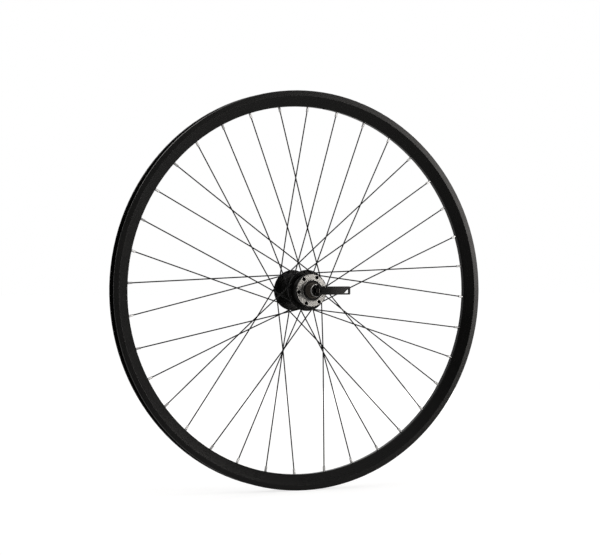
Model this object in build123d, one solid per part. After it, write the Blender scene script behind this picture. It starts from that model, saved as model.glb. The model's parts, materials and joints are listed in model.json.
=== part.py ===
"""Front bicycle wheel for a disc brake: hollow rim, 36 laced spokes, hub, quick release.

Units are millimetres. The origin is the wheel's centre, on the axle, in the middle plane
of the rim. The wheel spins about Y, Z is up, and the disc brake side faces -Y.
Outlines that are turned about the axle are lists of (radius, place along the axle).
Angles around the wheel are in degrees from +X towards +Z.
"""

import os
from math import cos, radians, sin, tan

from build123d import *

os.makedirs("parts", exist_ok=True)

# Rim section
rim_radius = 317.0
rim_width = 22.0
rim_height = 25.0
lip_thickness = 1.5
lip_bevel = 0.5
hook_reach = 0.6
hook_drop = 1.4
hook_height = 1.2
bead_seat_drop = 6.0
bead_seat_width = 2.9
well_depth = 3.4
well_slope = 1.4
side_wall_height = 8.7
rim_wall = 1.5
bed_width = 7.2
bed_wall = 2.4
bed_corner = 0.9
bed_corner_height = 0.6
bed_shoulder = 0.9
bed_shoulder_height = 2.0

# Rim holes
nipple_hole_clearance = 0.25
access_hole_radius = 4.2
valve_hole_radius = 4.25
valve_gap = 8.5
rim_hole_offset = 0.5

# Lacing
spoke_count = 36
crossings = 3
first_hole_angle = -2.3
crossing_gap = 0.12
crossing_bend_radius = 60.0

# Spokes and nipples
spoke_radius = 1.0
elbow_radius = 2.2
elbow_gap = 0.7
head_radius = 1.9
head_top_radius = 1.2
head_height = 1.5
thread_clearance = 0.03
thread_end_depth = 0.6
nipple_radius = 2.0
nipple_reach = 8.0
nipple_head_radius = 2.9
nipple_head_height = 2.6
nipple_seat_clearance = 0.03
nipple_flats = 3.3
nipple_flats_length = 5.5

# Hub shell
flange_radius = 32.5
flange_thickness = 3.2
flange_edge_thickness = 2.0
flange_taper = 2.7
flange_root = 3.4
flange_root_height = 5.4
spoke_hole_edge = 3.5
spoke_hole_clearance = 0.3
disc_flange_place = -21.0
far_flange_place = 34.5
barrel_end_radius = 18.0
barrel_waist_radius = 16.0
barrel_waist_length = 14.0
hub_end = 43.0
hub_end_bevel = 0.4
hub_bore_radius = 11.8

# Disc rotor mount
rotor_face_place = -39.5
rotor_face_radius = 26.5
rotor_boss_thickness = 6.5
rotor_boss_slope = 3.5
rotor_neck_radius = 21.0
rotor_spigot_radius = 17.0
rotor_bolt_circle_radius = 22.0
rotor_bolt_count = 6
rotor_bolt_radius = 2.5
rotor_bolt_depth = 8.0
rotor_bolt_angle = 6.0
rotor_bevel = 0.4

# Bearings and seals
bearing_bore_radius = 6.0
bearing_radius = 14.0
bearing_width = 8.0
bearing_place = 34.0
inner_ring_radius = 8.6
outer_ring_bore_radius = 11.4
bearing_seal_thickness = 0.9
bearing_seal_recess = 0.3
running_gap = 0.3
dust_seal_thickness = 0.7
dust_seal_step = 0.3
dust_seal_step_radius = 11.6

# Axle and its end caps
axle_shoulder_radius = 7.6
axle_end_radius = 4.5
axle_end = 54.5
axle_bore_radius = 2.8
axle_bevel = 0.5
locknut_face = 50.0
cap_collar_radius = 8.6
cap_cover_radius = 12.6
cap_cover_thickness = 1.6
cap_cover_bevel = 0.6
cap_step_radius = 10.2
cap_step_length = 3.0
cap_face_radius = 8.6
cap_gap = 0.5

# Quick release rod, cup and nut
rod_radius = 2.5
rod_clearance = 0.05
rod_end = 67.5
rod_end_bevel = 0.5
clamp_face = 55.3
cup_radius = 10.0
cup_length = 4.5
cup_bevel = 0.5
cup_seat_depth = 2.45
spring_pocket_radius = 7.4
nut_face_radius = 9.5
nut_end_radius = 7.0
nut_collar = 2.5
nut_length = 10.7
nut_bevel = 0.6
nut_flutes = 6
nut_flute_radius = 4.0
nut_flute_depth = 1.3

# Quick release lever
cam_radius = 5.6
cam_throw = 2.2
cam_gap = 0.3
cam_seat_gap = 0.55
cam_length = 16.4
cam_bevel = 0.8
pin_radius = 1.8
pin_clearance = 0.05
eye_radius = 3.4
eye_width = 6.0
lever_length = 56.0
lever_width = 13.0
lever_root_thickness = 5.0
lever_tip_thickness = 3.6
lever_tip_inset = 1.6
lever_bow = 1.4
lever_corner = 2.0
lever_round = 1.0
lever_slot_end = 2.8
triangle_height = 8.0
triangle_length = 8.8
triangle_tip_bar = 3.0
triangle_low_bar = 2.4

# Springs
spring_wire_radius = 0.4
spring_small_radius = 3.4
spring_turns = 2
spring_pocket_clearance = 0.1

# What follows from the sizes above
bed_radius = rim_radius - rim_height
floor_radius = bed_radius + bed_wall
hole_step = 360.0 / spoke_count
lean = 2.0 * crossings * hole_step
nipple_hole_radius = nipple_radius + nipple_hole_clearance
spoke_hole_radius = spoke_radius + spoke_hole_clearance
spoke_circle_radius = flange_radius - spoke_hole_edge
bearing_end = bearing_place + bearing_width
spring_pocket_depth = 2 * spring_wire_radius + spring_pocket_clearance
cam_offset = cam_throw / 2.0
cup_seat = -(clamp_face + cup_length - cup_seat_depth)
cam_centre = cup_seat - cam_seat_gap - cam_radius
pin_place = cam_centre - cam_offset
up_the_axle = Vector(0, 1, 0)


def around(radius, angle, place=0.0):
    """A point of the wheel at a radius, an angle and a place along the axle."""
    return Vector(radius * cos(radians(angle)), place, radius * sin(radians(angle)))


def turned(outline):
    """A solid turned about the axle."""
    return revolve(make_face(Polyline(*outline, close=True)), axis=Axis.Y)


def bar(start, end, radius):
    """A round bar between two points."""
    run = end - start
    return Solid.make_cylinder(radius, run.length, Plane(start, z_dir=run))


def both_ways(half):
    """A whole outline from its half at +Y and that half's mirror image at -Y."""
    return half + [(radius, -place) for radius, place in reversed(half)]


def far_and_disc_side(solid):
    """The far side's piece and its mirror image on the disc side."""
    return {"far_side": solid, "disc_side": mirror(solid, about=Plane.XZ)}


def spoke_plan(hole):
    """Where the spoke of a rim hole runs: its side, flange, lean and whether it lies outboard.

    Holes go round in fours: disc side and far side leaning forward, from inside their
    flanges, then disc side and far side leaning back, from outside their flanges.
    """
    side = -1 if hole % 2 == 0 else 1
    outboard = hole % 4 > 1
    turn = -lean if outboard else lean
    flange = disc_flange_place if side < 0 else far_flange_place
    return side, flange, turn, outboard


def spoke_route(hole):
    """The corners of a spoke's centre line: head seat, elbow, last crossing, rim floor."""
    side, flange, turn, outboard = spoke_plan(hole)
    angle = first_hole_angle + hole_step * hole
    hub_angle = angle + turn
    lie = side if outboard else -side
    seat = around(spoke_circle_radius, hub_angle, flange - lie * flange_thickness / 2)
    lift = flange_thickness / 2 + elbow_gap + spoke_radius
    elbow = around(spoke_circle_radius, hub_angle, flange + lie * lift)
    rim = around(floor_radius, angle, side * rim_hole_offset)
    # The outermost crossing lies midway between two rim holes that are two steps apart.
    rim_share = floor_radius * sin(radians(hole_step))
    hub_share = spoke_circle_radius * sin(radians(lean - hole_step))
    reach = rim_share / (rim_share + hub_share)
    middle = flange * reach + side * rim_hole_offset * (1 - reach)
    apart = spoke_radius + crossing_gap / 2
    crossing = rim + (elbow - rim) * reach
    crossing.Y = middle - side * apart if outboard else middle + side * apart
    return seat, elbow, crossing, rim


def nipple_axis(hole):
    """A nipple's direction outwards, and how far its head is lifted to clear the tilted seat."""
    crossing, rim = spoke_route(hole)[2:]
    outwards = (rim - crossing).normalized()
    tilt = outwards.get_angle(Vector(rim.X, 0, rim.Z))
    lift = nipple_hole_radius * tan(radians(tilt)) + nipple_seat_clearance
    return outwards, lift - nipple_hole_clearance


def make_rim():
    """The hollow double-walled rim with hooked lips, drilled for nipples and valve."""
    half_width = rim_width / 2
    lip_inside = half_width - lip_thickness
    bead_seat = rim_radius - bead_seat_drop
    seat_end = lip_inside - bead_seat_width
    well = bead_seat - well_depth
    side_foot = rim_radius - side_wall_height
    shoulder = bed_width / 2 + bed_corner
    bed_side = shoulder + bed_shoulder
    outside = [
        (well, seat_end - well_slope),
        (bead_seat, seat_end),
        (bead_seat, lip_inside),
        (rim_radius - hook_drop - hook_height, lip_inside),
        (rim_radius - hook_drop, lip_inside - hook_reach),
        (rim_radius, lip_inside + lip_bevel / 2),
        (rim_radius, half_width - lip_bevel),
        (rim_radius - lip_bevel, half_width),
        (side_foot, half_width),
        (bed_radius + bed_shoulder_height, bed_side),
        (bed_radius + bed_corner_height, shoulder),
        (bed_radius, bed_width / 2),
    ]
    hollow = [
        (well - rim_wall, seat_end - well_slope + rim_wall / 2),
        (bead_seat - rim_wall, seat_end + rim_wall / 2),
        (bead_seat - rim_wall, half_width - rim_wall),
        (side_foot, half_width - rim_wall),
        (floor_radius + bed_wall / 2, bed_side - rim_wall / 2),
        (floor_radius, shoulder - rim_wall / 2),
    ]
    section = make_face(Polyline(*both_ways(outside), close=True))
    section -= make_face(Polyline(*both_ways(hollow), close=True))
    cutters = []
    for hole in range(spoke_count):
        side = spoke_plan(hole)[0]
        rim = spoke_route(hole)[3]
        outwards = nipple_axis(hole)[0]
        through = outwards * (bed_wall + nipple_hole_radius)
        cutters.append(bar(rim - through, rim + outwards * bed_wall / 2, nipple_hole_radius))
        angle = first_hole_angle + hole_step * hole
        low = around(well - 2 * rim_wall, angle, side * rim_hole_offset)
        high = around(rim_radius, angle, side * rim_hole_offset)
        cutters.append(bar(low, high, access_hole_radius))
    valve_angle = first_hole_angle + hole_step * valve_gap
    valve_start = around(bed_radius - bed_wall, valve_angle)
    cutters.append(bar(valve_start, around(rim_radius, valve_angle), valve_hole_radius))
    return revolve(section, axis=Axis.Y) - cutters


def make_spoke(hole):
    """One spoke: a head, an elbow through the flange and a shank bent at its last crossing."""
    seat, elbow, crossing, rim = spoke_route(hole)
    outwards, lift = nipple_axis(hole)
    end = rim + outwards * (lift + nipple_head_height - thread_end_depth)
    radii = [elbow_radius, crossing_bend_radius]
    path = FilletPolyline(seat, elbow, crossing, end, radius=radii)
    wire = sweep(Plane(seat, z_dir=elbow - seat) * Circle(spoke_radius), path=path)
    head_side = Plane(seat, z_dir=seat - elbow)
    return wire + Solid.make_cone(head_radius, head_top_radius, head_height, head_side)


def make_nipple(hole):
    """One nipple on its spoke: a coned head, a round neck and four flats for a spoke key."""
    outwards, lift = nipple_axis(hole)
    rim = spoke_route(hole)[3]
    bore = spoke_radius + thread_clearance
    low = -(bed_wall + nipple_reach + lift)
    cone = nipple_head_radius - nipple_radius
    outline = [
        (bore, low),
        (nipple_radius, low),
        (nipple_radius, 0),
        (nipple_head_radius, cone),
        (nipple_head_radius, nipple_head_height),
        (bore, nipple_head_height),
    ]
    body = revolve(Plane.XZ * make_face(Polyline(*outline, close=True)), axis=Axis.Z)
    middle = Pos(0, 0, low + nipple_flats_length / 2)
    waste = middle * Cylinder(2 * nipple_radius, nipple_flats_length)
    waste -= middle * Box(nipple_flats, nipple_flats, nipple_flats_length)
    seat = Plane(rim + outwards * lift, x_dir=outwards.cross(up_the_axle), z_dir=outwards)
    return seat * (body - waste)


def flange_outline(place, root_low, root_high):
    """A flange's outline at a place, between the radii where its two faces start."""
    half = flange_thickness / 2
    edge = flange_edge_thickness / 2
    taper = flange_radius - flange_taper
    return [
        (root_low, place - half),
        (taper, place - half),
        (flange_radius, place - edge),
        (flange_radius, place + edge),
        (taper, place + half),
        (root_high, place + half),
    ]


def make_hub_shell():
    """The one-piece shell: rotor mount, two drilled flanges, waisted barrel, bearing seats."""
    half = flange_thickness / 2
    boss_back = rotor_face_place + rotor_boss_thickness
    neck_root = rotor_neck_radius + flange_root
    barrel_root = barrel_end_radius + flange_root
    waist = (disc_flange_place + far_flange_place) / 2
    outline = [
        (bearing_radius, -hub_end),
        (rotor_spigot_radius - hub_end_bevel, -hub_end),
        (rotor_spigot_radius, -hub_end + hub_end_bevel),
        (rotor_spigot_radius, rotor_face_place),
        (rotor_face_radius - rotor_bevel, rotor_face_place),
        (rotor_face_radius, rotor_face_place + rotor_bevel),
        (rotor_face_radius, boss_back),
        (rotor_neck_radius, boss_back + rotor_boss_slope),
        (rotor_neck_radius, disc_flange_place - half - flange_root),
    ]
    outline += flange_outline(disc_flange_place, neck_root, barrel_root)
    outline += [
        (barrel_end_radius, disc_flange_place + half + flange_root_height),
        (barrel_waist_radius, waist - barrel_waist_length / 2),
        (barrel_waist_radius, waist + barrel_waist_length / 2),
        (barrel_end_radius, far_flange_place - half - flange_root_height),
    ]
    outline += flange_outline(far_flange_place, barrel_root, barrel_root)
    outline += [
        (barrel_end_radius, far_flange_place + half + flange_root),
        (barrel_end_radius, hub_end - hub_end_bevel),
        (barrel_end_radius - hub_end_bevel, hub_end),
        (bearing_radius, hub_end),
        (bearing_radius, bearing_place),
        (hub_bore_radius, bearing_place),
        (hub_bore_radius, -bearing_place),
        (bearing_radius, -bearing_place),
    ]
    cutters = []
    for hole in range(spoke_count):
        flange, turn = spoke_plan(hole)[1:3]
        angle = first_hole_angle + hole_step * hole + turn
        low = around(spoke_circle_radius, angle, flange - flange_thickness)
        high = around(spoke_circle_radius, angle, flange + flange_thickness)
        cutters.append(bar(low, high, spoke_hole_radius))
    for bolt in range(rotor_bolt_count):
        angle = rotor_bolt_angle + 360.0 / rotor_bolt_count * bolt
        mouth = around(rotor_bolt_circle_radius, angle, rotor_face_place - rotor_bevel)
        end = around(rotor_bolt_circle_radius, angle, rotor_face_place + rotor_bolt_depth)
        cutters.append(bar(mouth, end, rotor_bolt_radius))
    return turned(outline) - cutters


def ring(bore, radius, start, end):
    """A plain ring between two places along the axle."""
    return turned([(bore, start), (radius, start), (radius, end), (bore, end)])


def make_bearing_seals():
    """The four seals that close the two bearings."""
    bore = inner_ring_radius + running_gap
    lows = [
        bearing_place + bearing_seal_recess,
        bearing_end - bearing_seal_recess - bearing_seal_thickness,
    ]
    seals = []
    for low in lows:
        seal = ring(bore, outer_ring_bore_radius, low, low + bearing_seal_thickness)
        seals += far_and_disc_side(seal).values()
    return seals


def make_dust_seal():
    """The far side's dust seal, pressed into the hub's end, with a stepped lip."""
    bore = cap_collar_radius + running_gap
    outer = bearing_end + dust_seal_thickness
    return turned(
        [
            (bore, bearing_end + dust_seal_step),
            (bore, outer),
            (dust_seal_step_radius, outer),
            (dust_seal_step_radius, outer + dust_seal_step),
            (bearing_radius, outer + dust_seal_step),
            (bearing_radius, bearing_end),
            (outer_ring_bore_radius, bearing_end),
            (outer_ring_bore_radius, bearing_end + dust_seal_step),
        ]
    )


def make_axle():
    """The hollow axle with shoulders for the bearings and stubs for the fork ends."""
    half = [
        (axle_bore_radius, axle_end),
        (axle_end_radius - axle_bevel, axle_end),
        (axle_end_radius, axle_end - axle_bevel),
        (axle_end_radius, bearing_end),
        (bearing_bore_radius, bearing_end),
        (bearing_bore_radius, bearing_place),
        (axle_shoulder_radius, bearing_place),
    ]
    return turned(both_ways(half))


def make_axle_cap():
    """The far side's end cap: collar, cover over the seal, step and clamped face."""
    cover = hub_end + cap_gap
    cover_end = cover + cap_cover_thickness
    step_end = cover_end + cap_step_length
    return turned(
        [
            (axle_end_radius, bearing_end),
            (cap_collar_radius, bearing_end),
            (cap_collar_radius, cover),
            (cap_cover_radius, cover),
            (cap_cover_radius, cover_end - cap_cover_bevel),
            (cap_cover_radius - cap_cover_bevel, cover_end),
            (cap_step_radius, cover_end),
            (cap_step_radius, step_end),
            (cap_face_radius, step_end),
            (cap_face_radius, locknut_face),
            (axle_end_radius, locknut_face),
        ]
    )


def make_cup():
    """The quick release's steel cup, hollowed on one side for the spring and on one for the cam."""
    face = -clamp_face
    outer = face - cup_length
    bore = rod_radius + rod_clearance
    cup = turned(
        [
            (bore, face - spring_pocket_depth),
            (spring_pocket_radius, face - spring_pocket_depth),
            (spring_pocket_radius, face),
            (cup_radius - cup_bevel, face),
            (cup_radius, face - cup_bevel),
            (cup_radius, outer + cup_bevel),
            (cup_radius - cup_bevel, outer),
            (bore, outer),
        ]
    )
    # The cam's middle swings sideways by its offset, so the seat is that much wider.
    seat = SlotCenterToCenter(cam_offset, 2 * (cam_radius + cam_seat_gap))
    seat = Pos(cam_offset / 2, cam_centre) * seat
    return cup - extrude(seat, amount=cup_radius, both=True)


def make_rod():
    """The quick release's rod with the eye that the lever's pin goes through."""
    half = Vector(0, 0, eye_width / 2)
    pin = Vector(0, pin_place, 0)
    rod = turned(
        [
            (0, pin_place),
            (rod_radius, pin_place),
            (rod_radius, rod_end - rod_end_bevel),
            (rod_radius - rod_end_bevel, rod_end),
            (0, rod_end),
        ]
    )
    rod += bar(pin - half, pin + half, eye_radius)
    return rod - bar(pin - half * 2, pin + half * 2, pin_radius + pin_clearance)


def make_pin():
    """The lever's pin."""
    half = Vector(0, 0, cam_length / 2)
    pin = Vector(0, pin_place, 0)
    return bar(pin - half, pin + half, pin_radius)


def make_lever():
    """The cam lever: a forked cam, a bowed flat arm and a triangular hole near its tip."""
    drum = Pos(0, cam_centre, 0) * Cylinder(cam_radius, cam_length)
    drum = chamfer(drum.edges().filter_by(GeomType.CIRCLE), cam_bevel)
    root_low = cam_centre - lever_root_thickness / 2
    root_high = cam_centre + lever_root_thickness / 2
    tip_low = cam_centre + lever_tip_inset - lever_tip_thickness / 2
    tip_high = cam_centre + lever_tip_inset + lever_tip_thickness / 2
    middle = lever_length / 2
    bow_low = (root_low + tip_low) / 2 - lever_bow
    bow_high = (root_high + tip_high) / 2 - lever_bow
    side_view = [
        ThreePointArc((0, root_low), (middle, bow_low), (lever_length, tip_low)),
        Line((lever_length, tip_low), (lever_length, tip_high)),
        ThreePointArc((lever_length, tip_high), (middle, bow_high), (0, root_high)),
        Line((0, root_high), (0, root_low)),
    ]
    arm = extrude(make_face(side_view), amount=lever_width / 2, both=True)
    tip_edges = arm.edges().filter_by(Axis.Y).sort_by(Axis.X)[-2:]
    arm = fillet(tip_edges, lever_corner)
    front_edges = arm.faces().sort_by(Axis.Y)[0].edges().sort_by(Axis.X)[1:]
    lever = drum + fillet(front_edges, lever_round)
    hole_end = lever_length - triangle_tip_bar
    hole_low = -lever_width / 2 + triangle_low_bar
    triangle = Polyline(
        (hole_end, hole_low),
        (hole_end, hole_low + triangle_height),
        (hole_end - triangle_length, hole_low),
        close=True,
    )
    depth = lever_length
    front = Plane((0, cam_centre, 0), x_dir=(1, 0, 0), z_dir=(0, -1, 0))
    lever -= extrude(front * make_face(triangle), amount=depth, both=True)
    slot_width = eye_width + 2 * cam_gap
    slot_length = lever_slot_end + 2 * cam_radius
    slot = Box(slot_length, 4 * cam_radius, slot_width)
    lever -= Pos(lever_slot_end - slot_length / 2, cam_centre, 0) * slot
    half = Vector(0, 0, slot_width / 2)
    pin = Vector(0, pin_place, 0)
    lever -= bar(pin - half, pin + half, eye_radius + cam_gap)
    whole = Vector(0, 0, cam_length)
    return lever - bar(pin - whole, pin + whole, pin_radius)


def make_nut():
    """The quick release's adjusting nut with finger flutes and a pocket for the spring."""
    bore = rod_radius + rod_clearance
    end = clamp_face + nut_length
    nut = turned(
        [
            (bore, clamp_face + spring_pocket_depth),
            (spring_pocket_radius, clamp_face + spring_pocket_depth),
            (spring_pocket_radius, clamp_face),
            (nut_face_radius - nut_bevel, clamp_face),
            (nut_face_radius, clamp_face + nut_bevel),
            (nut_face_radius, clamp_face + nut_collar),
            (nut_end_radius, end - nut_bevel),
            (nut_end_radius - nut_bevel, end),
            (bore, end),
        ]
    )
    flutes = []
    for flute in range(nut_flutes):
        angle = 360.0 / nut_flutes * flute
        reach = nut_face_radius - nut_flute_depth + nut_flute_radius
        start = around(reach, angle, clamp_face + nut_collar)
        flutes.append(bar(start, around(reach, angle, end + nut_bevel), nut_flute_radius))
    return nut - flutes


def make_spring():
    """The far side's cone spring, pressed flat into the nut's pocket as it is on a fork."""
    place = clamp_face + spring_pocket_depth - spring_wire_radius
    large = spring_pocket_radius - 2 * spring_wire_radius
    growth = (large - spring_small_radius) / spring_turns / 2
    arcs = []
    for half_turn in range(2 * spring_turns):
        way = -1 if half_turn % 2 else 1
        start = spring_small_radius + growth * half_turn
        end = start + growth
        top = Vector(way * (start - end) / 2, place, way * (start + end) / 2)
        ends = Vector(way * start, place, 0), Vector(-way * end, place, 0)
        arcs.append(ThreePointArc(ends[0], top, ends[1]))
    path = Wire(arcs)
    start = Plane(path @ 0, z_dir=path % 0)
    return sweep(start * Circle(spring_wire_radius), path=path)


# Every node and the solids in it
nodes = {
    "rim": [make_rim()],
    "hub_shell": [make_hub_shell()],
    "spoke_nipples": [make_nipple(hole) for hole in range(spoke_count)],
    "bearing_seals": make_bearing_seals(),
    "axle": [make_axle()],
    "qr_cup": [make_cup()],
    "qr_rod": [make_rod()],
    "qr_pivot_pin": [make_pin()],
    "qr_lever": [make_lever()],
    "qr_nut": [make_nut()],
}
for hole in range(spoke_count):
    nodes[f"spoke_{hole + 1:02d}"] = [make_spoke(hole)]
pairs = {
    "bearing_outer_ring": ring(outer_ring_bore_radius, bearing_radius, bearing_place, bearing_end),
    "bearing_inner_ring": ring(bearing_bore_radius, inner_ring_radius, bearing_place, bearing_end),
    "dust_seal": make_dust_seal(),
    "axle_cap": make_axle_cap(),
    "qr_spring": make_spring(),
}
for name, solid in pairs.items():
    for side, piece in far_and_disc_side(solid).items():
        nodes[f"{name}_{side}"] = [piece]

for name, solids in nodes.items():
    shape = solids[0] if len(solids) == 1 else Compound(children=solids)
    export_step(shape, f"parts/{name}.step")
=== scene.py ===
"""Looks of a front bicycle wheel: eased edges and finishes on its pieces, and a plain studio round it.

Laid out as an add-on and run as a script. Everything is in metres, in the part's own frame:
the wheel spins about Y, Z is up and the disc brake side faces -Y.
"""

import json
from collections import defaultdict
from math import cos, hypot, pi, radians, sin

import bmesh
import bpy
from bpy.props import FloatProperty, FloatVectorProperty, IntProperty, PointerProperty
from mathutils import Matrix, Vector


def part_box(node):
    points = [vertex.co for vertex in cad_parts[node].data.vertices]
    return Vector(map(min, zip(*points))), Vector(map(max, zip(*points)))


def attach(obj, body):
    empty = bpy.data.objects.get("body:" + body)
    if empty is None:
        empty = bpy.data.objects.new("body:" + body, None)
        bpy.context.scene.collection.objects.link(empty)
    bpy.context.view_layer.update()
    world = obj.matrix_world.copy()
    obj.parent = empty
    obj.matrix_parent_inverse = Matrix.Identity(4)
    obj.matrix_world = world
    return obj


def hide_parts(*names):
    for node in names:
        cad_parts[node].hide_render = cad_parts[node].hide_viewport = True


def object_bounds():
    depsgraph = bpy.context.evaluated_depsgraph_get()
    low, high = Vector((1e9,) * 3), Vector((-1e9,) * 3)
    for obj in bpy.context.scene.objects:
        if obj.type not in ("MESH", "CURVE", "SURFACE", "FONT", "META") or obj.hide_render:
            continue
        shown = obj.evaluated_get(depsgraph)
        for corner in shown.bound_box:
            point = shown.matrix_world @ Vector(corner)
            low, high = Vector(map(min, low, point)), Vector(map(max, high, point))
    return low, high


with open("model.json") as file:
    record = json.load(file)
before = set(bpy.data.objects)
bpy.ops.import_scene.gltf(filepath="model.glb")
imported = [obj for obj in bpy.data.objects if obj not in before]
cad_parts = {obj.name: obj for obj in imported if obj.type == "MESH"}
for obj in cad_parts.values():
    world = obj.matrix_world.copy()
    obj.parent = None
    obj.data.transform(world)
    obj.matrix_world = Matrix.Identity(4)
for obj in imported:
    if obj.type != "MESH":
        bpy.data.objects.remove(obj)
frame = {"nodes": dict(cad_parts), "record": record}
cad_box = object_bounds()

bl_info = {
    "name": "Front bicycle wheel",
    "version": (1, 0, 0),
    "blender": (4, 5, 0),
    "location": "View3D > Sidebar > Wheel",
    "description": "Finishes the pieces of a front bicycle wheel and sets a studio round it",
    "category": "Object",
}

MM = 0.001
# Rings of corners closer than this are one ring.
NEAR = 0.02 * MM
# Corners of neighbouring triangles are closer than this.
JOINED = 0.1 * NEAR
# A point closer than this to a turned face is on it.
ON_FACE = 0.05 * MM
# Edges that turn by more than this are sharp.
SHARP = radians(20.0)
# Share of a full circle that the edges of a turned ring add up to at least.
WHOLE_RING = 0.8
# Width of a clamping tooth at its crest, as a share of its width at the root.
CREST_SHARE = 0.25
# The photograph's width in pixels, and the camera's sensor in its own millimetres.
PHOTO_WIDTH = 600
SENSOR_WIDTH = 36.0
FLOOR_REACH = 30.0
LAMP_COLOUR = (1.0, 0.965, 0.93)
WHITE = (1.0, 1.0, 1.0, 1.0)
BLACK = (0.0, 0.0, 0.0, 1.0)
BODY_OF = {node: body for body, nodes in frame["record"]["behaviour"]["bodies"].items() for node in nodes}


def both_sides(*names):
    return [f"{name}_{side}" for name in names for side in ("disc_side", "far_side")]


# Shapes

def new_piece(name, form, like):
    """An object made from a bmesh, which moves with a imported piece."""
    for face in form.faces:
        face.smooth = True
    mesh = bpy.data.meshes.new(name)
    form.to_mesh(mesh)
    form.free()
    if mesh.has_custom_normals:
        mesh.attributes.remove(mesh.attributes["custom_normal"])
    piece = bpy.data.objects.new(name, mesh)
    bpy.context.scene.collection.objects.link(piece)
    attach(piece, BODY_OF[like])
    return piece


def merged(node):
    """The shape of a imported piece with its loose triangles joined."""
    form = bmesh.new()
    form.from_mesh(frame["nodes"][node].data)
    bmesh.ops.remove_doubles(form, verts=form.verts, dist=JOINED)
    return form


def countersink(form, in_holes, face, radius, depth):
    """Open out the mouths of drilled holes into cones, on a face across the axle."""
    wall_slant = 0.1
    hole_width = 2.2 * radius
    mouths = [corner for corner in form.verts if in_holes(corner.co) and abs(corner.co.y - face) < ON_FACE]
    walls = {wall for corner in mouths for wall in corner.link_faces if abs(wall.normal.y) < wall_slant}
    edges = {edge for wall in walls for edge in wall.edges}
    corners = {corner for wall in walls for corner in wall.verts}
    bmesh.ops.bisect_plane(
        form, geom=[*corners, *edges, *walls], plane_co=(0.0, face + depth, 0.0), plane_no=(0.0, 1.0, 0.0)
    )
    growth = 1.0 + depth / radius
    while mouths:
        hole = [corner for corner in mouths if (corner.co - mouths[0].co).length < hole_width]
        mouths = [corner for corner in mouths if corner not in hole]
        middle = sum((corner.co for corner in hole), Vector()) / len(hole)
        bmesh.ops.scale(form, vec=(growth, 1.0, growth), space=Matrix.Translation(-middle), verts=hole)


def turned_edges(edges):
    """Those edges that run right round the axle, as turning leaves them."""
    rounds = defaultdict(list)
    for edge in edges:
        places = {(round(hypot(v.co.x, v.co.z) / NEAR), round(v.co.y / NEAR)) for v in edge.verts}
        if len(places) == 1:
            rounds[places.pop()].append(edge)
    whole = []
    for (radius, _), ring in rounds.items():
        if sum(edge.calc_length() for edge in ring) > WHOLE_RING * 2 * pi * radius * NEAR:
            whole += ring
    return whole


def widen_lips(form, step):
    """Widen the chamfers on the outer edges of a rim's two lips, by a step each way."""
    reach = max(hypot(corner.co.x, corner.co.z) for corner in form.verts)
    crests = [corner for corner in form.verts if reach - hypot(corner.co.x, corner.co.z) < NEAR]
    for way in (-1.0, 1.0):
        side = max(corner.co.y * way for corner in form.verts)
        walls = [corner for corner in form.verts if side - corner.co.y * way < NEAR]
        top = max(hypot(corner.co.x, corner.co.z) for corner in walls)
        walls = [corner for corner in walls if top - hypot(corner.co.x, corner.co.z) < NEAR]
        out = max(corner.co.y * way for corner in crests)
        edge = [corner for corner in crests if out - corner.co.y * way < NEAR]
        bmesh.ops.translate(form, vec=(0.0, -way * step, 0.0), verts=edge)
        bmesh.ops.scale(form, vec=(1.0 - step / top, 1.0, 1.0 - step / top), verts=walls)


def eased(node, width, segments=2, form=None, choice=turned_edges):
    """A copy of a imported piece, which stands for it, with the chosen ones of its sharp edges rounded off."""
    form = form or merged(node)
    sharp = [edge for edge in form.edges if edge.calc_face_angle() > SHARP]
    soft = choice(sharp)
    for edge in set(sharp) - set(soft):
        edge.smooth = False
    bmesh.ops.bevel(
        form, geom=soft, offset=width, offset_type="OFFSET", segments=segments, profile=0.5,
        affect="EDGES", material=-1, loop_slide=False,
    )
    piece = new_piece(f"{node}_eased", form, node)
    even = piece.modifiers.new("even shading", "WEIGHTED_NORMAL")
    even.keep_sharp = True
    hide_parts(node)
    return piece


def clamp_teeth(node, inner, outer, face, height, count):
    """Radial teeth round a clamped face; a negative height stands out towards -Y."""
    form = bmesh.new()
    middle = Vector(((inner + outer) / 2, face, 0.0))
    width = pi * inner / count
    size = Matrix.Diagonal((outer - inner, 2 * abs(height), width, 1.0))
    bmesh.ops.create_cube(form, size=1.0, matrix=Matrix.Translation(middle) @ size)
    way = Vector((0.0, height, 0.0))
    crest = [edge for edge in form.edges if all((v.co - middle).dot(way) > 0 for v in edge.verts)]
    crest = [edge for edge in crest if abs((edge.verts[0].co - edge.verts[1].co).x) > width]
    for edge in crest:
        for vertex in edge.verts:
            vertex.co.z *= CREST_SHARE
    bmesh.ops.spin(
        form, geom=form.verts[:] + form.edges[:] + form.faces[:],
        cent=(0.0, 0.0, 0.0), axis=(0.0, 1.0, 0.0),
        angle=2 * pi * (count - 1) / count, steps=count - 1, use_duplicate=True,
    )
    bmesh.ops.recalc_face_normals(form, faces=form.faces)
    piece = new_piece(f"{node}_teeth", form, node)
    piece.data.set_sharp_from_angle(angle=SHARP)
    return piece


# Finishes

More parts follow.
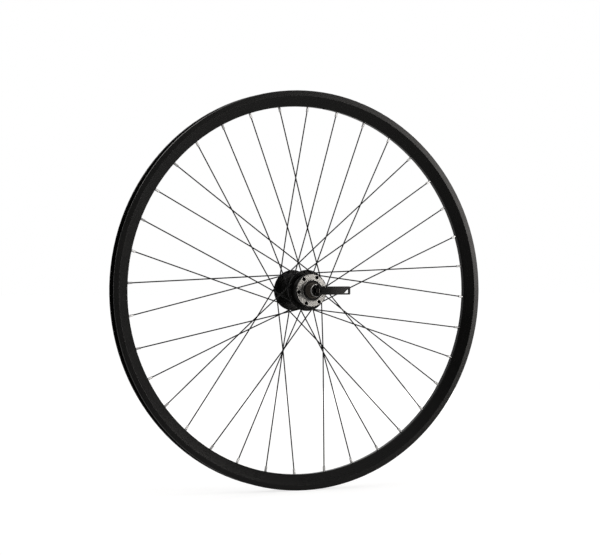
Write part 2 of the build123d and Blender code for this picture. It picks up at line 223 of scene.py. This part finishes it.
class Reading:
    """A socket that takes part in sums: each operator adds a Math node."""

    def __init__(self, graph, socket):
        self.graph = graph
        self.socket = socket

    def sum(self, operation, first, second):
        return self.graph.node("ShaderNodeMath", {"operation": operation}, {0: first, 1: second})

    def __add__(self, other):
        return self.sum("ADD", self, other)

    def __radd__(self, other):
        return self.sum("ADD", other, self)

    def __sub__(self, other):
        return self.sum("SUBTRACT", self, other)

    def __rsub__(self, other):
        return self.sum("SUBTRACT", other, self)

    def __mul__(self, other):
        return self.sum("MULTIPLY", self, other)

    def __rmul__(self, other):
        return self.sum("MULTIPLY", other, self)

    def __gt__(self, other):
        return self.sum("GREATER_THAN", self, other)

    def __lt__(self, other):
        return self.sum("LESS_THAN", self, other)

    def swing(self, width):
        """What a reading from 0 to 1 adds when it swings about nothing, this wide in all."""
        return width * (self - 0.5)

    def zigzag(self, step):
        """A rise to the step and a fall back to nothing, over and over."""
        return self.sum("PINGPONG", self, step)


class Graph:
    """The nodes of a material or of the world."""

    def __init__(self, tree):
        self.tree = tree

    def plug(self, socket, value):
        """Link a reading to a socket, or set a constant on it."""
        if isinstance(value, Reading):
            self.tree.links.new(value.socket, socket)
        else:
            socket.default_value = value

    def node(self, kind, settings=None, inputs=None, output=0):
        """Add a node, with its settings and then the values or links of its sockets."""
        made = self.tree.nodes.new(kind)
        for setting, value in (settings or {}).items():
            setattr(made, setting, value)
        for socket, value in (inputs or {}).items():
            self.plug(made.inputs[socket], value)
        return Reading(self, made.outputs[output])

    def point(self):
        """The point on the piece, in metres."""
        return self.node("ShaderNodeTexCoord", output="Object")

    def parts(self, vector):
        """The X, Y and Z of a vector."""
        return [self.node("ShaderNodeSeparateXYZ", inputs={0: vector}, output=axis) for axis in range(3)]

    def length(self, vector):
        return self.node("ShaderNodeVectorMath", {"operation": "LENGTH"}, {0: vector}, "Value")

    def dot(self, vector, way):
        return self.node("ShaderNodeVectorMath", {"operation": "DOT_PRODUCT"}, {0: vector, 1: way}, "Value")

    def turning(self):
        """How far the point is from the axle, and its place along it."""
        x, y, z = self.parts(self.point())
        return self.length(self.node("ShaderNodeCombineXYZ", inputs={0: x, 2: z})), y

    def noise(self, vector, scale, detail):
        return self.node("ShaderNodeTexNoise", inputs={"Vector": vector, "Scale": scale, "Detail": detail})

    def turned_lines(self, pitch):
        """Fine lines round the axle, as a lathe or a drawing die leaves them."""
        away, along = self.turning()
        across = self.node("ShaderNodeCombineXYZ", inputs={0: away, 1: along})
        return self.noise(across, scale=1.0 / pitch, detail=2.0)

    def between(self, reading, low, high, to_low=0.0, to_high=1.0):
        """A smooth step from one value to another."""
        settings = {"interpolation_type": "SMOOTHSTEP"}
        inputs = {"Value": reading, "From Min": low, "From Max": high, "To Min": to_low, "To Max": to_high}
        return self.node("ShaderNodeMapRange", settings, inputs, "Result")

    def mix(self, factor, first, second):
        """A blend of two colours."""
        return self.node("ShaderNodeMix", {"data_type": "RGBA"}, {"Factor": factor, 6: first, 7: second}, 2)

    def shades(self, factor, colour, spread):
        """A colour that wanders from darker to lighter by a share of itself."""
        darker = (*[c * (1.0 - spread) for c in colour], 1.0)
        lighter = (*[c * (1.0 + spread) for c in colour], 1.0)
        return self.mix(factor, darker, lighter)

    def bump(self, height, strength, distance):
        inputs = {"Strength": strength, "Distance": distance, "Height": height}
        return self.node("ShaderNodeBump", None, inputs, "Normal")

    def seen(self, *kinds):
        """One for rays of these kinds."""
        path = [self.node("ShaderNodeLightPath", output=f"Is {kind} Ray") for kind in kinds]
        return sum(path[1:], path[0])


class Finish(Graph):
    """A material being made, with one surface shader."""

    def __init__(self, name, **constants):
        self.material = bpy.data.materials.new(name)
        self.material.use_nodes = True
        super().__init__(self.material.node_tree)
        self.surface = self.tree.nodes["Principled BSDF"]
        self.feed(**constants)

    def feed(self, **values):
        """Give the surface shader's sockets readings or constants; an underscore stands for a space."""
        for socket, value in values.items():
            self.plug(self.surface.inputs[socket.replace("_", " ")], value)

    def put_on(self, *pieces):
        """Cover pieces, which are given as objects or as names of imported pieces."""
        for piece in pieces:
            if isinstance(piece, str):
                piece = frame["nodes"][piece]
            piece.data.materials.clear()
            piece.data.materials.append(self.material)


def satin_black(name, colour, roughness, gloss, pitch):
    """Black coated metal, or rubber, with fine lines round the axle and faint cloudiness."""
    finish = Finish(name, Specular_IOR_Level=gloss)
    cloud = finish.noise(finish.point(), scale=35.0, detail=4.0)
    lines = finish.turned_lines(pitch)
    finish.feed(Base_Color=finish.shades(cloud, colour, spread=0.25))
    finish.feed(Roughness=roughness + cloud.swing(0.10) + lines.swing(0.06))
    finish.feed(Normal=finish.bump(lines, strength=0.12, distance=0.02 * MM))
    return finish


def cast_black(name, colour, roughness, gloss):
    """Black coating over a casting or a wire, with the coating's fine uneven skin."""
    grain = 0.6 * MM
    finish = Finish(name, Specular_IOR_Level=gloss)
    point = finish.point()
    cloud = finish.noise(point, scale=90.0, detail=3.0)
    skin = finish.noise(point, scale=1.0 / grain, detail=2.0)
    finish.feed(Base_Color=finish.shades(cloud, colour, spread=0.25))
    finish.feed(Roughness=roughness + cloud.swing(0.10))
    finish.feed(Normal=finish.bump(skin, strength=0.15, distance=0.03 * MM))
    return finish


def bare_metal(name, colour, roughness, pitch):
    """Plated or turned metal with fine lines round the axle."""
    finish = Finish(name, Metallic=1.0)
    cloud = finish.noise(finish.point(), scale=60.0, detail=4.0)
    lines = finish.turned_lines(pitch)
    finish.feed(Base_Color=finish.shades(cloud, colour, spread=0.10))
    finish.feed(Roughness=roughness + lines.swing(0.10))
    finish.feed(Normal=finish.bump(lines, strength=0.10, distance=0.02 * MM))
    return finish


def part_bare(name, black, bare, gloss, roughness, bare_roughness, pitch, where, ridges=None):
    """Black coated metal that is turned bare where a mask says so, with ridges if it has a thread."""
    line_height = 0.001 * MM
    finish = Finish(name, Specular_IOR_Level=gloss)
    away, along = finish.turning()
    mask = where(away, along)
    cloud = finish.noise(finish.point(), scale=60.0, detail=4.0)
    lines = finish.turned_lines(pitch)
    coated = finish.shades(cloud, black, spread=0.25)
    turned = finish.shades(cloud, bare, spread=0.10)
    finish.feed(Base_Color=finish.mix(mask, coated, turned), Metallic=mask)
    finish.feed(Roughness=roughness + (bare_roughness - roughness) * mask + lines.swing(0.08))
    height = lines * line_height
    if ridges:
        height = height + ridges(away, along)
    finish.feed(Normal=finish.bump(height, strength=1.0, distance=1.0))
    return finish


# Settings

def colour_setting(name, description, default):
    return FloatVectorProperty(
        name=name, description=description, default=default, subtype="COLOR", size=3, min=0.0, max=1.0
    )


def length_setting(name, description, default):
    return FloatProperty(name=name, description=description, default=default, unit="LENGTH")


def share_setting(name, description, default):
    return FloatProperty(
        name=name, description=description, default=default, subtype="FACTOR", min=0.0, max=1.0
    )


class RimLook(bpy.types.PropertyGroup):
    """The rim's finish."""

    colour: colour_setting("Colour", "Black of the rim", (0.0028, 0.0027, 0.0025))
    roughness: share_setting("Roughness", "Satin of the rim", 0.28)
    gloss: share_setting("Gloss", "How much the rim mirrors", 0.167)
    easing: length_setting("Easing", "Rounding of the rim's edges", 0.2 * MM)
    lip_step: length_setting("Lip step", "Widening of the lips' chamfers", 0.3 * MM)
    lip_inner: length_setting("Lip inner radius", "Where the lips' machined edges start", 316.15 * MM)
    lip_shine: share_setting("Lip shine", "Shine of the lips' machined edges", 0.75)


class HubLook(bpy.types.PropertyGroup):
    """The hub's finishes."""

    colour: colour_setting("Colour", "Black of the shell", (0.0033, 0.0032, 0.0030))
    face: colour_setting("Face", "Bare metal of the rotor face", (0.275, 0.270, 0.258))
    roughness: share_setting("Roughness", "Satin of the shell", 0.36)
    face_roughness: share_setting("Face roughness", "Satin of the rotor face", 0.30)
    gloss: share_setting("Gloss", "How much the shell mirrors", 0.133)
    easing: length_setting("Easing", "Rounding of the shell's edges", 0.25 * MM)
    face_place: length_setting("Face place", "Place of the rotor face along the axle", -39.5 * MM)
    bare_inner: length_setting("Bare inner radius", "Radius where the spigot's bare edge starts", 16.2 * MM)
    face_outer: length_setting("Face outer radius", "Radius of the bare face", 25.3 * MM)
    bolt_circle: length_setting("Bolt circle", "Radius of the circle of the rotor's bolt holes", 22.0 * MM)
    bolt_hole: length_setting("Bolt hole", "Radius of the rotor's bolt holes", 2.5 * MM)
    countersink: length_setting("Countersink", "Chamfer of the rotor's bolt holes", 0.5 * MM)
    thread_pitch: length_setting("Thread pitch", "Pitch in the rotor's bolt holes", 0.8 * MM)


class SpokeLook(bpy.types.PropertyGroup):
    """The spokes' and nipples' finishes."""

    colour: colour_setting("Colour", "Black of the spokes", (0.0050, 0.0050, 0.0053))
    gloss: share_setting("Gloss", "How much the spokes mirror", 0.133)
    nipple: colour_setting("Nipple", "Plated metal of the nipples", (0.43, 0.43, 0.43))
    easing: length_setting("Easing", "Rounding of the nipples' edges", 0.05 * MM)


class SkewerLook(bpy.types.PropertyGroup):
    """The finishes of the quick release, the bearings, the axle and its caps."""

    lever: colour_setting("Lever", "Black of the lever and the nut", (0.0037, 0.0035, 0.0033))
    cup: colour_setting("Cup", "Bare metal of the cup's side", (0.43, 0.425, 0.415))
    steel: colour_setting("Steel", "Steel of the pin, springs, bearings and axle", (0.46, 0.455, 0.45))
    rod: colour_setting("Rod", "Dark steel of the rod", (0.037, 0.035, 0.033))
    cap: colour_setting("Cap", "Brownish black of the caps", (0.0517, 0.0450, 0.0375))
    rubber: colour_setting("Rubber", "Black of the seals", (0.0100, 0.0087, 0.0077))
    easing: length_setting("Easing", "Rounding of the nut's edges", 0.3 * MM)
    cap_easing: length_setting("Cap easing", "Rounding of the caps' edges", 0.2 * MM)
    cup_easing: length_setting("Cup easing", "Rounding of the cup's edges", 0.12 * MM)
    cup_seat: length_setting("Cup seat", "Radius of the cup's black face", 9.6 * MM)
    tooth_height: length_setting("Tooth height", "Height of the teeth on the clamped faces", 0.3 * MM)
    teeth: IntProperty(name="Teeth", description="Teeth round each clamped face", default=36, min=3)


class StageLook(bpy.types.PropertyGroup):
    """The camera, the floor and the light."""

    azimuth: FloatProperty(
        name="Azimuth", description="Camera's turn about the wheel", default=radians(-24.17), subtype="ANGLE"
    )
    distance: length_setting("Distance", "Camera's distance from the wheel", 2.96)
    aside: length_setting("Aside", "Camera's step to the right of the wheel's middle", -0.0022)
    height: length_setting("Height", "Camera's height above the axle", 0.0204)
    focal_pixels: FloatProperty(
        name="Focal length", description="Lens in pixels of the photograph", default=1862.0, subtype="PIXEL"
    )
    floor: colour_setting("Floor", "Pale floor", (0.92, 0.92, 0.92))
    floor_shade: colour_setting("Floor shade", "How strongly the floor shows the shadow", (0.50, 0.50, 0.50))
    floor_lift: share_setting("Floor lift", "Light added to the floor that the camera sees", 0.72)
    floor_far_lift: share_setting("Far floor lift", "Light added to it far from the wheel", 0.82)
    floor_gloss_lift: share_setting("Floor gloss lift", "Light added to the floor that metal mirrors", 0.06)
    floor_gloss: share_setting("Floor gloss", "Share of the floor that shiny pieces mirror", 0.90)
    floor_near_gloss: share_setting("Near floor gloss", "Share of it towards the camera", 0.30)
    room_light: share_setting("Room light", "Light of the white room", 0.42)
    room_gloss: share_setting("Room gloss", "What shiny pieces mirror of the room", 0.27)
    dark_gloss: share_setting("Dark gloss", "What they mirror where the camera stands", 0.018)
    upper_gloss: share_setting("Upper gloss", "What they mirror more above the camera", 0.54)


class WheelLooks(bpy.types.PropertyGroup):
    """All the settings of the wheel."""

    rim: PointerProperty(type=RimLook)
    hub: PointerProperty(type=HubLook)
    spokes: PointerProperty(type=SpokeLook)
    skewer: PointerProperty(type=SkewerLook)
    stage: PointerProperty(type=StageLook)


# Operators

class WHEEL_OT_rim(bpy.types.Operator):
    """Ease the rim's edges and finish it"""

    bl_idname = "wheel.rim"
    bl_label = "Rim"

    def execute(self, context):
        look = context.scene.wheel_looks.rim
        finish = satin_black("rim_black", look.colour, look.roughness, look.gloss, pitch=0.4 * MM)
        away, _ = finish.turning()
        finish.feed(Coat_Weight=(away > look.lip_inner) * look.lip_shine)
        finish.feed(Coat_Roughness=look.roughness, Coat_IOR=1.7)
        form = merged("rim")
        widen_lips(form, look.lip_step)
        finish.put_on(eased("rim", look.easing, segments=3, form=form))
        return {"FINISHED"}


class WHEEL_OT_hub(bpy.types.Operator):
    """Ease the hub shell's edges and finish it with its bare rotor face"""

    bl_idname = "wheel.hub"
    bl_label = "Hub"

    def execute(self, context):
        look = context.scene.wheel_looks.hub
        hole_margin = 0.2 * MM
        hole_depth = 9.0 * MM
        holes_inner = look.bolt_circle - look.bolt_hole - hole_margin
        holes_outer = look.bolt_circle + look.bolt_hole + hole_margin

        # The face and the side of the spigot that stands on it are machined bare.
        def rotor_face(away, along):
            on_face = along < look.face_place + ON_FACE
            return on_face * (away > look.bare_inner) * (away < look.face_outer)

        def in_bolt_holes(point):
            away = Vector((point.x, point.z)).length
            along = point.y - look.face_place
            return holes_inner < away < holes_outer and abs(along) < hole_depth

        def bolt_threads(away, along):
            in_ring = (away > holes_inner) * (away < holes_outer)
            deep = (along > look.face_place + look.countersink) * (along < look.face_place + hole_depth)
            return along.zigzag(look.thread_pitch / 2) * in_ring * deep

        finish = part_bare(
            "hub_black_with_bare_face", look.colour, look.face, look.gloss, look.roughness,
            look.face_roughness, pitch=0.5 * MM, where=rotor_face, ridges=bolt_threads,
        )
        form = merged("hub_shell")
        countersink(form, in_bolt_holes, look.face_place, look.bolt_hole, look.countersink)
        finish.put_on(eased("hub_shell", look.easing, form=form))
        return {"FINISHED"}


class WHEEL_OT_spokes(bpy.types.Operator):
    """Finish the spokes, and the nipples with their edges eased"""

    bl_idname = "wheel.spokes"
    bl_label = "Spokes and nipples"

    def execute(self, context):
        look = context.scene.wheel_looks.spokes
        spokes = [name for name in frame["nodes"] if name.startswith("spoke_") and name[-2:].isdigit()]
        black = cast_black("spoke_black", look.colour, roughness=0.36, gloss=look.gloss)
        black.put_on(*spokes)
        plated = bare_metal("nipple_plated", look.nipple, roughness=0.45, pitch=0.5 * MM)
        plated.put_on(eased("spoke_nipples", look.easing, segments=1, choice=list))
        return {"FINISHED"}


class WHEEL_OT_bearings(bpy.types.Operator):
    """Finish the bearings, seals, axle and end caps"""

    bl_idname = "wheel.bearings"
    bl_label = "Bearings and axle"

    def execute(self, context):
        look = context.scene.wheel_looks.skewer
        teeth_inner = 5.2 * MM
        teeth_outer = 8.0 * MM
        steel = bare_metal("bearing_steel", look.steel, roughness=0.25, pitch=0.3 * MM)
        steel.put_on("axle", *both_sides("bearing_outer_ring", "bearing_inner_ring"))
        rubber = satin_black("seal_rubber", look.rubber, roughness=0.62, gloss=0.20, pitch=0.8 * MM)
        rubber.put_on("bearing_seals", *both_sides("dust_seal"))
        caps = [eased(name, look.cap_easing) for name in both_sides("axle_cap")]
        for name, way in zip(both_sides("axle_cap"), (-1.0, 1.0)):
            low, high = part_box(name)
            face = high.y if way > 0 else low.y
            height = way * look.tooth_height
            caps.append(clamp_teeth(name, teeth_inner, teeth_outer, face, height, look.teeth))
        black = satin_black("cap_black", look.cap, roughness=0.40, gloss=0.083, pitch=0.3 * MM)
        black.put_on(*caps)
        return {"FINISHED"}


class WHEEL_OT_skewer(bpy.types.Operator):
    """Ease the quick release's edges, cut its teeth and finish it"""

    bl_idname = "wheel.skewer"
    bl_label = "Quick release"

    def execute(self, context):
        look = context.scene.wheel_looks.skewer
        teeth_inner = 7.7 * MM
        nut_teeth_outer = 8.8 * MM
        cup_teeth_outer = 9.3 * MM
        black = cast_black("lever_black", look.lever, roughness=0.30, gloss=0.092)
        nut = eased("qr_nut", look.easing, segments=3)
        nut_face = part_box("qr_nut")[0].y
        nut_teeth = clamp_teeth(
            "qr_nut", teeth_inner, nut_teeth_outer, nut_face, -look.tooth_height, look.teeth
        )
        black.put_on("qr_lever", nut, nut_teeth)
        cup_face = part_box("qr_cup")[1].y
        cup_teeth = clamp_teeth(
            "qr_cup", teeth_inner, cup_teeth_outer, cup_face, look.tooth_height, look.teeth
        )

        # The cup is bare only round its side; its seat and face are black.
        def cup_side(away, along):
            return away > look.cup_seat

        part_black = part_bare(
            "cup_black_with_bare_side", look.lever, look.cup, gloss=0.133, roughness=0.35,
            bare_roughness=0.42, pitch=0.3 * MM, where=cup_side,
        )
        part_black.put_on(eased("qr_cup", look.cup_easing), cup_teeth)
        steel = bare_metal("skewer_steel", look.steel, roughness=0.32, pitch=0.3 * MM)
        steel.put_on("qr_pivot_pin", *both_sides("qr_spring"))
        dark_steel = bare_metal("rod_steel", look.rod, roughness=0.30, pitch=0.3 * MM)
        dark_steel.put_on("qr_rod")
        return {"FINISHED"}


def studio_world(look):
    """A white room; shiny pieces see it dim where the camera stands and white behind the wheel."""
    dim_edge = cos(radians(58.0))
    dim_middle = cos(radians(14.0))
    behind_edge = -0.5
    behind_middle = -0.9
    upper_azimuth = radians(-8.0)
    upper_slope = 1.28
    upper_edge = cos(radians(40.0))
    upper_middle = cos(radians(12.0))

    world = bpy.data.worlds.new("studio")
    world.use_nodes = True
    graph = Graph(world.node_tree)
    background = graph.tree.nodes["Background"]
    way = graph.node("ShaderNodeTexCoord", output="Generated")
    facing = graph.dot(way, (sin(look.azimuth), -cos(look.azimuth), 0.0))
    room = graph.between(facing, dim_edge, dim_middle, look.room_gloss, look.dark_gloss)
    behind = graph.between(facing, behind_edge, behind_middle, 0.0, 1.0 - look.room_gloss)
    above = Vector((sin(upper_azimuth), -cos(upper_azimuth), upper_slope)).normalized()
    upper = graph.between(graph.dot(way, above), upper_edge, upper_middle, 0.0, look.upper_gloss)
    seen = graph.seen("Camera", "Transmission")
    glossy = graph.seen("Glossy")
    level = seen + glossy * (room + behind + upper) + (1.0 - seen - glossy) * look.room_light
    graph.plug(background.inputs["Strength"], level)
    graph.plug(background.inputs["Color"], WHITE)
    bpy.context.scene.world = world


def soft_box(name, azimuth, height, distance, width, tall, power, only_mirrored=False):
    """A soft box that faces the wheel's middle; azimuth 0 degrees is straight before the disc side.

    One that is only mirrored lights no matt surface.
    """
    lamp = bpy.data.lights.new(name, "AREA")
    lamp.shape = "RECTANGLE"
    lamp.size = width
    lamp.size_y = tall
    lamp.energy = power
    lamp.color = LAMP_COLOUR
    light = bpy.data.objects.new(name, lamp)
    azimuth = radians(azimuth)
    place = Vector((sin(azimuth) * distance, -cos(azimuth) * distance, height))
    light.location = place
    light.rotation_euler = (-place).to_track_quat("-Z", "Y").to_euler()
    light.visible_camera = False
    light.visible_diffuse = not only_mirrored
    bpy.context.scene.collection.objects.link(light)


def pale_floor(look):
    """A floor under the wheel, white to the camera but for the wheel's shadow, and clear from below."""
    lift_start = 1.0
    lift_end = 4.0
    near_start = 0.3
    near_end = 1.3
    aside_start = 1.2
    aside_end = 0.5

    form = bmesh.new()
    bmesh.ops.create_grid(form, x_segments=1, y_segments=1, size=FLOOR_REACH)
    bmesh.ops.translate(form, verts=form.verts, vec=(0.0, 0.0, cad_box[0].z))
    mesh = bpy.data.meshes.new("floor")
    form.to_mesh(mesh)
    form.free()
    floor = bpy.data.objects.new("floor", mesh)
    bpy.context.scene.collection.objects.link(floor)

    finish = Finish("pale_floor", Roughness=0.9, Specular_IOR_Level=0.0, Emission_Strength=1.0)
    point = finish.point()
    x, y, _ = finish.parts(point)
    seen = finish.seen("Camera", "Transmission")
    glossy = finish.seen("Glossy")
    lift = finish.between(finish.length(point), lift_start, lift_end, look.floor_lift, look.floor_far_lift)

    # Shiny pieces mirror less of the floor between the wheel and the camera.
    towards = sin(look.azimuth) * x - cos(look.azimuth) * y
    aside = cos(look.azimuth) * x + sin(look.azimuth) * y
    near = finish.between(towards, near_start, near_end) * finish.between(aside, aside_start, aside_end)
    mirrored = look.floor_gloss + (look.floor_near_gloss - look.floor_gloss) * near
    lift = seen * lift + glossy * mirrored * look.floor_gloss_lift
    pale = finish.mix(glossy * (1.0 - mirrored), (*look.floor, 1.0), BLACK)
    finish.feed(Base_Color=finish.mix(seen, pale, (*look.floor_shade, 1.0)))
    finish.feed(Emission_Color=finish.node("ShaderNodeCombineColor", inputs={0: lift, 1: lift, 2: lift}))

    below = finish.node("ShaderNodeNewGeometry", output="Backfacing")
    clear = finish.node("ShaderNodeBsdfTransparent")
    surface = Reading(finish, finish.surface.outputs[0])
    shown = finish.node("ShaderNodeMixShader", inputs={0: below, 1: surface, 2: clear})
    finish.plug(finish.tree.nodes["Material Output"].inputs["Surface"], shown)
    finish.put_on(floor)


def photo_camera(look):
    """A level camera where the photograph was taken from."""
    camera_data = bpy.data.cameras.new("camera")
    camera_data.sensor_width = SENSOR_WIDTH
    camera_data.sensor_fit = "HORIZONTAL"
    camera_data.lens = look.focal_pixels / PHOTO_WIDTH * camera_data.sensor_width
    camera = bpy.data.objects.new("camera", camera_data)
    right = Vector((cos(look.azimuth), sin(look.azimuth), 0.0))
    back = Vector((sin(look.azimuth), -cos(look.azimuth), 0.0))
    camera.location = back * look.distance + right * look.aside + Vector((0.0, 0.0, look.height))
    camera.rotation_euler = (pi / 2, 0.0, look.azimuth)
    bpy.context.scene.collection.objects.link(camera)
    bpy.context.scene.camera = camera


class WHEEL_OT_stage(bpy.types.Operator):
    """Set the floor, the light and the camera"""

    bl_idname = "wheel.stage"
    bl_label = "Stage"

    def execute(self, context):
        look = context.scene.wheel_looks.stage
        context.scene.view_settings.view_transform = "Standard"
        studio_world(look)
        pale_floor(look)
        soft_box("key", azimuth=37.5, height=0.32, distance=2.6, width=0.56, tall=0.84, power=20.4)
        soft_box("side", azimuth=80.0, height=0.6, distance=3.0, width=1.2, tall=2.0, power=4.8)
        soft_box("top", azimuth=10.0, height=2.8, distance=0.8, width=2.0, tall=2.0, power=9.0)
        soft_box("far_right", azimuth=142.5, height=0.5, distance=2.6, width=0.56, tall=1.3, power=14.4)
        soft_box("far_left", azimuth=-120.0, height=0.5, distance=2.6, width=0.56, tall=1.3, power=8.4)
        soft_box(
            "edge", azimuth=-57.0, height=2.05, distance=1.60, width=0.5, tall=1.8, power=16.8,
            only_mirrored=True,
        )
        photo_camera(look)
        return {"FINISHED"}


OPERATORS = (WHEEL_OT_rim, WHEEL_OT_hub, WHEEL_OT_spokes, WHEEL_OT_bearings, WHEEL_OT_skewer, WHEEL_OT_stage)


class WHEEL_PT_looks(bpy.types.Panel):
    """The wheel's pieces and settings."""

    bl_label = "Front wheel"
    bl_space_type = "VIEW_3D"
    bl_region_type = "UI"
    bl_category = "Wheel"

    def draw(self, context):
        looks = context.scene.wheel_looks
        for operator in OPERATORS:
            self.layout.operator(operator.bl_idname)
        for group in (looks.rim, looks.hub, looks.spokes, looks.skewer, looks.stage):
            box = self.layout.box()
            for setting in group.bl_rna.properties:
                if not setting.is_readonly and setting.identifier != "name":
                    box.prop(group, setting.identifier)


CLASSES = (RimLook, HubLook, SpokeLook, SkewerLook, StageLook, WheelLooks, *OPERATORS, WHEEL_PT_looks)


def register():
    for made in CLASSES:
        bpy.utils.register_class(made)
    bpy.types.Scene.wheel_looks = PointerProperty(type=WheelLooks)


def unregister():
    del bpy.types.Scene.wheel_looks
    for made in reversed(CLASSES):
        bpy.utils.unregister_class(made)


def main():
    register()
    bpy.ops.wheel.rim()
    bpy.ops.wheel.hub()
    bpy.ops.wheel.spokes()
    bpy.ops.wheel.bearings()
    bpy.ops.wheel.skewer()
    bpy.ops.wheel.stage()


if __name__ == "__main__":
    main()
